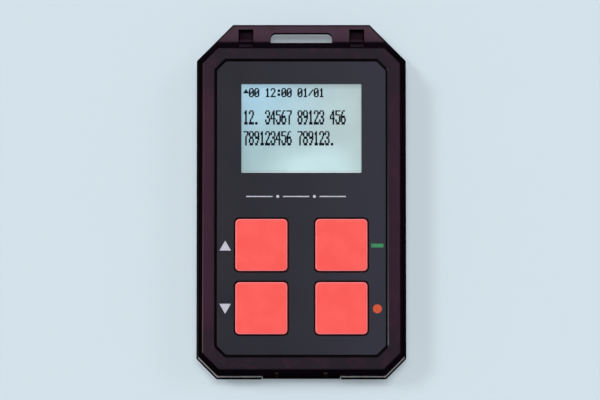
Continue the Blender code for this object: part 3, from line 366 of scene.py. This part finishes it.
def clear(name, tint, roughness, mirror):
    """A clear sheet that light passes straight through, with a polished, faintly smeared surface and
    dark edges."""
    g = Graph(name)
    facing = g.add("ShaderNodeLayerWeight", "Facing", Blend=0.5)
    grazing = g.math("POWER", facing, 5.0)
    share = g.math("ADD", g.math("MULTIPLY", grazing, 0.9), mirror)
    smear = g.steps(g.noise(8.0, 4.0), 0.35, 0.7, roughness, roughness + 0.12)
    seen = g.mix(g.steps(g.upright(), 0.5, 0.9), (0.02, 0.08, 0.1), tint)
    through = g.add("ShaderNodeBsdfTransparent", Color=seen)
    shine = g.add("ShaderNodeBsdfGlossy", Roughness=smear, Normal=g.bump(g.noise(0.6, 2.0), 0.0005))
    return g.finish(g.add("ShaderNodeMixShader", i0=share, i1=through, i2=shine))


def label_film():
    """Dark matt film: near black with a violet cast, a fine print screen and a painted sheen that brightens
    it to the right.
    """
    g = Graph("label_film")
    painted_sheen = g.steps(g.axis("X"), LABEL_LOW.x + 7.0 * MM, LABEL_HIGH.x)
    colour = g.mix(painted_sheen, (0.0065, 0.006, 0.0125), (0.0155, 0.015, 0.0275))
    screen = g.noise(0.09, 1.0)
    colour = g.mix(g.steps(screen, 0.6, 0.8, 0.0, 0.3), colour, (0.02, 0.018, 0.03))
    colour = g.mix(g.edges(0.12), colour, (0.03, 0.028, 0.035))
    rough = g.steps(g.noise(11.0, 5.0), 0.3, 0.7, 0.36, 0.46)
    normal = g.bump(screen, 0.0015)
    return g.finish(g.principled(Base_Color=colour, Roughness=rough, Normal=normal))


def key_plastic():
    """Soft coral plastic with a painted highlight round the rounded rim, and painted shade on its sides
    down into their gaps.
    """
    g = Graph("key_plastic")
    colour = g.mix(g.steps(g.noise(5.0, 3.0), 0.35, 0.65), (0.853, 0.087, 0.077), (0.883, 0.101, 0.089))
    grain = g.noise(0.16, 2.0)
    colour = g.mix(g.steps(grain, 0.6, 0.8, 0.0, 0.2), colour, (0.9, 0.16, 0.14))
    # painted highlight on the rounded rim
    colour = g.mix(g.steps(g.upright(), 0.995, 0.9, 0.0, 0.9), colour, (1.0, 0.27, 0.3))
    # painted shade on the key sides down in their gaps
    below = g.steps(g.axis("Z"), LABEL_HIGH.z + 0.1 * MM, LABEL_HIGH.z - 0.5 * MM)
    gap_shade = g.math("MULTIPLY", g.shelter(2.0), below)
    colour = g.mix(gap_shade, colour, (0.05, 0.0, 0.0))
    rough = g.steps(g.noise(7.0, 4.0), 0.3, 0.7, 0.48, 0.58)
    normal = g.bump(grain, 0.0035)
    return g.finish(
        g.principled(Base_Color=colour, Roughness=rough, Normal=normal, Specular_IOR_Level=0.35)
    )


def lit_cell():
    """The display's lit ground: cool grey-green, brightest above the lamp, and along its foot where the
    light enters."""
    g = Graph("display_ground")
    up = g.steps(g.axis("Y"), GLASS_LOW.y, GLASS_HIGH.y)
    right = g.steps(g.axis("X"), GLASS_LOW.x, GLASS_HIGH.x)
    ground = g.mix(up, (0.44, 0.545, 0.55), (0.51, 0.7, 0.84))
    ground = g.mix(right, ground, (0.595, 0.65, 0.645))
    lamp_low, lamp_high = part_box("backlight_lamp")
    lamp = Vector(((lamp_low.x + lamp_high.x) / 2, lamp_high.y, GLASS_HIGH.z))
    away = g.add("ShaderNodeVectorMath", 0, {"operation": "SUBTRACT"}, i0=g.place, i1=lamp)
    squashed = g.add("ShaderNodeVectorMath", 0, {"operation": "MULTIPLY"}, i0=away, i1=(0.6, 1.0, 1.0))
    distance = g.add("ShaderNodeVectorMath", "Value", {"operation": "LENGTH"}, i0=squashed)
    glow = g.steps(distance, 2.0 * MM, 12.0 * MM, 0.75, 0.0)
    ground = g.mix(glow, ground, (0.79, 0.92, 0.94))
    edge = g.steps(g.axis("Y"), VIEW_FOOT + 0.33 * MM, VIEW_FOOT + 0.2 * MM)
    ground = g.mix(edge, ground, g.mix(1.0, ground, (1.3, 1.27, 1.27), "MULTIPLY"))
    cloud = g.steps(g.noise(6.0, 3.0), 0.3, 0.7, 0.96, 1.03)
    shown = g.mix(1.0, ground, g.add("ShaderNodeCombineXYZ", i0=cloud, i1=cloud, i2=cloud), "MULTIPLY")
    normal = g.bump(g.noise(0.3, 2.0), 0.001)
    shader = g.principled(
        Base_Color=g.mix(0.72, shown, (0.0, 0.0, 0.0)),
        Roughness=g.steps(g.noise(3.0), 0.3, 0.7, 0.4, 0.5),
        Normal=normal,
        Specular_IOR_Level=0.1,
        Emission_Color=shown,
        Emission_Strength=0.8,
    )
    return g.finish(shader)


def circuit_board():
    """Green solder mask over a rectangular run of tracks, with the glass weave faintly showing."""
    g = Graph("circuit_board")
    cells = g.add(
        "ShaderNodeTexVoronoi", "Distance", {"distance": "MANHATTAN"}, Vector=g.place, Scale=420.0
    )
    track = g.steps(cells, 0.42, 0.5)
    colour = g.mix(track, (0.012, 0.13, 0.05), (0.03, 0.24, 0.1))
    weave = g.noise(0.35, 1.0, (1.0, 0.2, 1.0))
    colour = g.mix(g.steps(weave, 0.5, 0.8, 0.0, 0.3), colour, (0.05, 0.2, 0.08))
    colour = g.mix(g.edges(0.15), colour, (0.42, 0.4, 0.22))
    normal = g.bump(track, 0.02)
    rough = g.steps(weave, 0.3, 0.7, 0.3, 0.42)
    return g.finish(g.principled(Base_Color=colour, Roughness=rough, Normal=normal))


def cell_sleeve():
    """A shrink sleeve with a dark band towards the positive end, wrinkled a little round its ends."""
    g = Graph("cell_sleeve")
    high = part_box("battery_cell")[1]
    band = g.steps(g.axis("X"), high.x - 12.0 * MM, high.x - 11.8 * MM)
    colour = g.mix(band, (0.03, 0.26, 0.13), (0.02, 0.022, 0.03))
    end = g.steps(g.axis("X"), high.x - 1.9 * MM, high.x - 1.7 * MM)
    colour = g.mix(end, colour, (0.6, 0.6, 0.58))
    wrinkle = g.noise(1.2, 4.0, (1.0, 0.25, 0.25))
    colour = g.mix(g.steps(wrinkle, 0.5, 0.8, 0.0, 0.25), colour, (0.12, 0.34, 0.22))
    return g.finish(
        g.principled(
            Base_Color=colour,
            Metallic=end,
            Roughness=g.steps(wrinkle, 0.3, 0.7, 0.24, 0.36),
            Normal=g.bump(wrinkle, 0.008),
        )
    )


def ink(name, colour, shine=0.3):
    """Screen-printed ink: slightly uneven cover, matt, with a faint mesh."""
    g = Graph(name)
    cover = g.steps(g.noise(0.35, 3.0), 0.3, 0.7)
    thin = [0.8 * part for part in colour]
    printed = g.mix(cover, thin, colour)
    mesh = g.noise(0.08, 1.0)
    return g.finish(
        g.principled(
            Base_Color=printed,
            Roughness=g.steps(mesh, 0.3, 0.7, 0.5, 0.62),
            Normal=g.bump(mesh, 0.002),
            Specular_IOR_Level=shine,
        )
    )


SLOTS = {
    "case_plastic": case_plastic(),
    "label_film": label_film(),
    "clear_plastic": clear("clear_plastic", (0.95, 0.97, 0.98), 0.06, 0.008),
    "display_glass": clear("display_glass", (0.93, 0.97, 0.97), 0.04, 0.002),
    "light_guide": plastic(
        "light_guide", (0.74, 0.82, 0.82), (0.84, 0.9, 0.9), (0.95, 0.97, 0.97),
        0.3, 0.5, 0.5, 0.002, 5.0
    ),
    "white_plastic": plastic(
        "white_plastic", (0.66, 0.66, 0.62), (0.76, 0.76, 0.73), (0.85, 0.85, 0.82),
        0.45, 0.4, 0.25, 0.003, 6.0
    ),
    "black_plastic": plastic(
        "black_plastic", (0.012, 0.012, 0.012), (0.028, 0.028, 0.03), (0.08, 0.08, 0.085),
        0.5, 0.4, 0.2, 0.004, 4.0
    ),
    "key_plastic": key_plastic(),
    "ribbon_film": plastic(
        "ribbon_film", (0.42, 0.13, 0.02), (0.6, 0.24, 0.05), (0.75, 0.4, 0.12),
        0.25, 0.5, 0.4, 0.001, 3.0
    ),
    "circuit_board": circuit_board(),
    "steel": metal("steel", (0.66, 0.66, 0.66), (0.42, 0.41, 0.4), 0.28, (1.0, 0.15, 1.0)),
    "tungsten": metal("tungsten", (0.4, 0.4, 0.41), (0.25, 0.25, 0.26), 0.45),
    "spring_steel": metal("spring_steel", (0.74, 0.73, 0.7), (0.5, 0.48, 0.44), 0.2, (0.2, 1.0, 1.0)),
    "copper": metal("copper", (0.8, 0.4, 0.22), (0.5, 0.2, 0.1), 0.22),
    "gold_plate": metal("gold_plate", (0.16, 0.085, 0.075), (0.07, 0.032, 0.035), 0.35),
    "cell_sleeve": cell_sleeve(),
    "red_wire": plastic(
        "red_wire", (0.42, 0.012, 0.012), (0.55, 0.03, 0.025), (0.7, 0.12, 0.1),
        0.4, 0.5, 0.3, 0.003, 3.0
    ),
    "black_wire": plastic(
        "black_wire", (0.012, 0.012, 0.012), (0.025, 0.025, 0.025), (0.07, 0.07, 0.07),
        0.4, 0.5, 0.3, 0.003, 3.0
    ),
}
DISPLAY_GROUND = lit_cell()
DISPLAY_DOTS = ink("display_dots", (0.003, 0.006, 0.011), 0.0)
PALE_INK = ink("pale_ink", (0.52, 0.515, 0.6))
GREEN_INK = ink("green_ink", (0.044, 0.238, 0.098))
ORANGE_INK = ink("orange_ink", (0.6, 0.085, 0.03))
PLATE_PAPER = ink("plate_paper", (0.52, 0.53, 0.54))
PLATE_RULE = ink("plate_rule", (0.03, 0.03, 0.04))


# ---------------------------------------------------------------- surfaces of the fixed parts


def geometry_tree(name):
    tree = bpy.data.node_groups.new(name, "GeometryNodeTree")
    tree.interface.new_socket("Geometry", in_out="INPUT", socket_type="NodeSocketGeometry")
    tree.interface.new_socket("Geometry", in_out="OUTPUT", socket_type="NodeSocketGeometry")
    return tree


def chain(tree, *steps):
    """Runs the geometry through the steps in turn. A step is (node kind, settings, inputs)."""
    geometry = tree.nodes.new("NodeGroupInput").outputs[0]
    for kind, settings, inputs in steps:
        node = tree.nodes.new(kind)
        for key, value in settings.items():
            setattr(node, key, value)
        for key, value in inputs.items():
            if isinstance(value, bpy.types.NodeSocket):
                tree.links.new(value, node.inputs[key])
            else:
                node.inputs[key].default_value = value
        tree.links.new(geometry, node.inputs[0])
        geometry = node.outputs[0]
    tree.links.new(geometry, tree.nodes.new("NodeGroupOutput").inputs[0])
    return tree


def weld_tree():
    """Joins the triangles into one skin and drops their stored normals."""
    return chain(
        geometry_tree("weld"),
        ("GeometryNodeRemoveAttribute", {}, {"Name": "custom_normal"}),
        ("GeometryNodeMergeByDistance", {}, {"Distance": 0.001 * MM}),
    )


def shade_tree(angle):
    """Shades round faces smooth and keeps edges over the angle crisp."""
    tree = geometry_tree("shade")
    edge_angle = tree.nodes.new("GeometryNodeInputMeshEdgeAngle").outputs["Unsigned Angle"]
    compare = tree.nodes.new("FunctionNodeCompare")
    compare.data_type = "FLOAT"
    compare.operation = "GREATER_THAN"
    tree.links.new(edge_angle, compare.inputs["A"])
    compare.inputs["B"].default_value = math.radians(angle)
    return chain(
        tree,
        ("GeometryNodeSetShadeSmooth", {"domain": "FACE"}, {"Shade Smooth": True}),
        ("GeometryNodeSetShadeSmooth", {"domain": "EDGE"}, {"Shade Smooth": True}),
        (
            "GeometryNodeSetShadeSmooth",
            {"domain": "EDGE"},
            {"Shade Smooth": False, "Selection": compare.outputs["Result"]},
        ),
    )


WELD = weld_tree()
SHADE = shade_tree(35)


def add_tree(obj, tree):
    obj.modifiers.new(tree.name, "NODES").node_group = tree


def add_bevel(obj, width_mm):
    bevel = obj.modifiers.new("edges", "BEVEL")
    bevel.width = width_mm * MM
    bevel.segments = 2
    bevel.limit_method = "ANGLE"
    bevel.angle_limit = math.radians(24)


def refine(obj, width_mm):
    """One skin of flat faces with fine rounded edges, smooth where it is round."""
    add_tree(obj, WELD)
    flat = obj.modifiers.new("flat_faces", "DECIMATE")
    flat.decimate_type = "DISSOLVE"
    flat.angle_limit = math.radians(0.4)
    add_bevel(obj, width_mm)
    add_tree(obj, SHADE)
    normals = obj.modifiers.new("normals", "WEIGHTED_NORMAL")
    normals.keep_sharp = True
    normals.weight = 100


EDGE_WIDTHS = {"front_shell": 0.08, "rear_shell": 0.1, "battery_door": 0.1, "display_window": 0.06}
FINE_EDGE = 0.04


def dress_fixed_parts():
    for part in frame["record"]["subparts"]:
        node, slot = part["node"], part["material_slot"]
        obj = NODES[node]
        obj.data.materials.clear()
        obj.data.materials.append(SLOTS[slot])
        refine(obj, EDGE_WIDTHS.get(node, FINE_EDGE))
    NODES["lcd_rear_glass"].data.materials[0] = DISPLAY_GROUND


# ---------------------------------------------------------------- new pieces


def add_prism(mesh, outline, low, high):
    """A closed flat piece with this outline, counter-clockwise, between two heights."""
    lower = [mesh.verts.new((x, y, low)) for x, y in outline]
    upper = [mesh.verts.new((x, y, high)) for x, y in outline]
    mesh.faces.new(reversed(lower))
    mesh.faces.new(upper)
    for i in range(len(outline)):
        j = (i + 1) % len(outline)
        mesh.faces.new((lower[i], lower[j], upper[j], upper[i]))


def rectangle(x, y, width, height):
    w, h = width / 2, height / 2
    return [(x - w, y - h), (x + w, y - h), (x + w, y + h), (x - w, y + h)]


def ring(x, y, radius, count):
    turn = 2 * math.pi / count
    return [(x + radius * math.cos(i * turn), y + radius * math.sin(i * turn)) for i in range(count)]


def piece(name, mesh, material):
    """A new piece on the housing, made from this bmesh."""
    data = bpy.data.meshes.new(name)
    mesh.to_mesh(data)
    mesh.free()
    data.materials.append(material)
    obj = bpy.data.objects.new(name, data)
    bpy.context.scene.collection.objects.link(obj)
    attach(obj, "housing")


def printed(name, outlines, material, surface):
    """Ink on an upward face: it stands a little above the surface and starts a little below it."""
    mesh = bmesh.new()
    for outline in outlines:
        add_prism(mesh, outline, surface - 0.01 * MM, surface + 0.02 * MM)
    piece(name, mesh, material)


# ---------------------------------------------------------------- display


def sign_dots(character, height):
    """The (column, row) dots of a sign stretched to this many rows, row 0 at its foot."""
    lines = GLYPHS.get(character, "").split()
    dots = set()
    for row in range(height if lines else 0):
        line = lines[-1 - row * len(lines) // height]
        dots |= {(column, row) for column, mark in enumerate(line) if mark == "#"}
    return dots


def picture_rows():
    """The darkened columns of each dot row, from all the lines of text."""
    top = DOT_COUNT[1] - 1
    heights = (STATUS_HEIGHT, MESSAGE_HEIGHT, MESSAGE_HEIGHT)
    rows = {}
    for text, height, drop in zip((STATUS_ROW, *MESSAGE_ROWS), heights, TEXT_FEET):
        foot = top - drop
        for position, character in enumerate(text):
            for column, row in sign_dots(character, height):
                rows.setdefault(foot + row, set()).add(position * CELL_COLUMNS + column)
    return rows


def runs(columns):
    """First and last column of each unbroken run."""
    starts = sorted(column for column in columns if column - 1 not in columns)
    ends = sorted(column for column in columns if column + 1 not in columns)
    return list(zip(starts, ends))


def build_display_dots():
    """Dark strokes in the gap between the two glasses: a status row and two tall rows of numerals."""
    centre = (WINDOW_LOW + WINDOW_HIGH) / 2
    origin_x = centre.x - DOT_COUNT[0] * DOT_PITCH[0] / 2
    origin_y = centre.y - DOT_COUNT[1] * DOT_PITCH[1] / 2 + PICTURE_RISE
    low, high = GLASS_HIGH.z + 0.02 * MM, GLASS_HIGH.z + 0.07 * MM
    mesh = bmesh.new()
    for row, columns in sorted(picture_rows().items()):
        y = origin_y + (row + 0.5) * DOT_PITCH[1]
        for first, last in runs(columns):
            x = origin_x + (first + last + 1) / 2 * DOT_PITCH[0]
            width = (last - first + 1) * DOT_PITCH[0] + 2 * DOT_BLEED
            add_prism(mesh, rectangle(x, y, width, DOT_PITCH[1] - DOT_GAP), low, high)
    piece("display_dots", mesh, DISPLAY_DOTS)


# ---------------------------------------------------------------- print on the label


def build_legends():
    """A mark beside each key, and a broken rule between the display and the keys."""
    surface = LABEL_HIGH.z
    rows = {}
    for key in ("up", "down", "confirm", "stop"):
        low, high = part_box(f"{key}_keycap")
        rows[key] = (low.y + high.y) / 2 - LEGEND_DROP
    left, right = LABEL_LOW.x + LEGEND_INSET[0], LABEL_HIGH.x - LEGEND_INSET[1]
    foot, tip = rows["up"] - ARROW_RISE, rows["up"] + ARROW_RISE
    up = [(left - ARROW_HALF, foot), (left + ARROW_HALF, foot), (left, tip)]
    top, tip = rows["down"] + ARROW_RISE, rows["down"] - ARROW_RISE
    down = [(left - ARROW_HALF, top), (left, tip), (left + ARROW_HALF, top)]
    printed("legend_up", [up], PALE_INK, surface)
    printed("legend_down", [down], PALE_INK, surface)
    printed("legend_confirm", [rectangle(right, rows["confirm"], *DASH_SIZE)], GREEN_INK, surface)
    printed("legend_stop", [ring(right, rows["stop"], DOT_RADIUS, 40)], ORANGE_INK, surface)
    dashes = [rectangle(x * MM, RULE_Y, *RULE_DASH) for x in (-11.8, -1.5, 8.8)]
    dots = [ring(x * MM, RULE_Y, RULE_DOT, 20) for x in (-6.65, 3.65)]
    printed("label_rule", dashes + dots, PALE_INK, surface)


def rounded_outline(centre, size, radius, steps=6):
    """A rectangle with round corners, as points in order."""
    outline = []
    for quarter, (sx, sy) in enumerate(QUADRANTS):
        x = centre[0] + sx * (size[0] / 2 - radius)
        y = centre[1] + sy * (size[1] / 2 - radius)
        for step in range(steps + 1):
            turn = math.pi / 2 * (quarter + step / steps)
            outline.append((x + radius * math.cos(turn), y + radius * math.sin(turn)))
    return outline


def build_type_plate():
    """A write-on label stuck in the recess of the back, with ruled lines and two tick boxes."""
    x, y = TYPE_PLATE_AT
    floor = SHELL_LOW.z + TYPE_PLATE_DEPTH
    paper = bmesh.new()
    outline = rounded_outline(TYPE_PLATE_AT, TYPE_PLATE_SIZE, TYPE_PLATE_CORNER)
    add_prism(paper, outline, floor + PAPER_Z[0], floor + PAPER_Z[1])
    piece("type_plate", paper, PLATE_PAPER)
    marks = [rectangle(x - 2.0 * MM, y + rise * MM, LINE_LENGTH, LINE_WIDTH) for rise in (6.0, 1.5, -3.0)]
    for side in (-12.0, -6.0):
        marks += box_outline(x + side * MM, y - 7.0 * MM, TICK_BOX, LINE_WIDTH)
    print_mesh = bmesh.new()
    for mark in marks:
        add_prism(print_mesh, mark, floor + PRINT_Z[0], floor + PRINT_Z[1])
    piece("type_plate_print", print_mesh, PLATE_RULE)


def box_outline(x, y, side, line):
    """The four strokes of a square."""
    reach = (side - line) / 2
    return [
        rectangle(x, y - reach, side, line),
        rectangle(x, y + reach, side, line),
        rectangle(x - reach, y, line, side - 2 * line),
        rectangle(x + reach, y, line, side - 2 * line),
    ]


# ---------------------------------------------------------------- studio


def aim(obj, target):
    direction = Vector(target) - obj.location
    obj.rotation_euler = direction.to_track_quat("-Z", "Y").to_euler()


def new_light(name, kind, direction, power, size, seen_by=("diffuse", "glossy")):
    """A light that shines from this direction onto the object."""
    light = bpy.data.lights.new(name, kind)
    light.energy = power
    if kind == "AREA":
        light.shape = "RECTANGLE"
        light.size, light.size_y = size
    else:
        light.angle = math.radians(size)
    obj = bpy.data.objects.new(name, light)
    obj.location = direction
    obj.visible_diffuse = "diffuse" in seen_by
    obj.visible_glossy = "glossy" in seen_by
    bpy.context.scene.collection.objects.link(obj)
    aim(obj, (0, 0, 0.01))


def build_floor():
    """Pale smooth paper with a little light of its own, so that its shadows stay soft. It is seen from
    above only."""
    bpy.ops.mesh.primitive_plane_add(size=6.0, location=(0, 0, CAD_BOX[0].z - 0.05 * MM))
    floor = bpy.context.object
    floor.name = "floor"
    g = Graph("paper")
    lit = [part * (1 - FLOOR_GLOW) for part in PAPER]
    colour = g.mix(g.steps(g.noise(60.0), 0.3, 0.7), lit, [part * 0.997 for part in lit])
    paper = g.principled(
        Base_Color=colour,
        Roughness=0.9,
        Specular_IOR_Level=0.1,
        Emission_Color=rgba(SKY),
        Emission_Strength=FLOOR_GLOW,
    )
    below = g.add("ShaderNodeNewGeometry", "Backfacing")
    nothing = g.add("ShaderNodeBsdfTransparent")
    floor.data.materials.append(g.finish(g.add("ShaderNodeMixShader", i0=below, i1=paper, i2=nothing)))
    floor.visible_shadow = False
    floor.visible_glossy = False


def sky_mix(tree, share, first, second):
    node = tree.nodes.new("ShaderNodeMix")
    node.data_type = "RGBA"
    tree.links.new(share, node.inputs[0])
    for socket, colour in ((node.inputs[6], first), (node.inputs[7], second)):
        if isinstance(colour, bpy.types.NodeSocket):
            tree.links.new(colour, socket)
        else:
            socket.default_value = rgba(colour)
    return node.outputs[2]


def sky_steepness(tree):
    """0 near the horizon and 1 well above or below it."""
    upwards = tree.nodes.new("ShaderNodeSeparateXYZ")
    tree.links.new(tree.nodes.new("ShaderNodeTexCoord").outputs["Generated"], upwards.inputs[0])
    size = tree.nodes.new("ShaderNodeMath")
    size.operation = "ABSOLUTE"
    tree.links.new(upwards.outputs["Z"], size.inputs[0])
    steepness = tree.nodes.new("ShaderNodeMapRange")
    steepness.inputs["From Min"].default_value = 0.1
    steepness.inputs["From Max"].default_value = 0.9
    tree.links.new(size.outputs[0], steepness.inputs["Value"])
    return steepness.outputs["Result"]


def build_sky():
    """A dim even room. Shiny faces mirror a bright ceiling and a bright ground between dark walls, and
    the camera sees the paper's own colour beyond its edge."""
    world = bpy.data.worlds.new("studio")
    world.use_nodes = True
    bpy.context.scene.world = world
    tree = world.node_tree
    tree.nodes.clear()
    path = tree.nodes.new("ShaderNodeLightPath")
    mirrored = sky_mix(tree, sky_steepness(tree), MIRRORED_LOW, MIRRORED_ABOVE)
    unseen = sky_mix(tree, path.outputs["Is Glossy Ray"], ROOM, mirrored)
    seen = sky_mix(tree, path.outputs["Is Camera Ray"], unseen, SKY)
    background = tree.nodes.new("ShaderNodeBackground")
    tree.links.new(seen, background.inputs["Color"])
    output = tree.nodes.new("ShaderNodeOutputWorld")
    tree.links.new(background.outputs[0], output.inputs["Surface"])


def build_lights():
    new_light("key", "SUN", (-0.547, 0.298, 1.0), 0.85, 12)
    new_light("fill", "SUN", (0.72, 0.3, 1.0), 0.23, 12)
    new_light("ceiling", "SUN", (0.0, 0.18, 1.0), 2.12, 20, ("diffuse",))
    new_light("side", "AREA", (-0.5, -0.1, 0.14), 2.2, (0.12, 0.5), ("glossy",))
    new_light("below", "SUN", (0.2, -0.2, -0.6), 3.4, 40, ("diffuse",))


def build_camera():
    camera = bpy.data.cameras.new("camera")
    camera.lens = LENS
    camera.sensor_width = 36.0
    camera.clip_start, camera.clip_end = 0.01, 20.0
    obj = bpy.data.objects.new("camera", camera)
    bpy.context.scene.collection.objects.link(obj)
    towards = Vector((0, -math.sin(CAMERA_TILT), math.cos(CAMERA_TILT)))
    obj.location = CAMERA_TARGET + CAMERA_DISTANCE * towards
    obj.rotation_euler = (CAMERA_TILT, 0, 0)
    bpy.context.scene.camera = obj


dress_fixed_parts()
build_display_dots()
build_legends()
build_type_plate()
build_floor()
build_sky()
build_lights()
build_camera()
bpy.context.scene.view_settings.view_transform = "Standard"
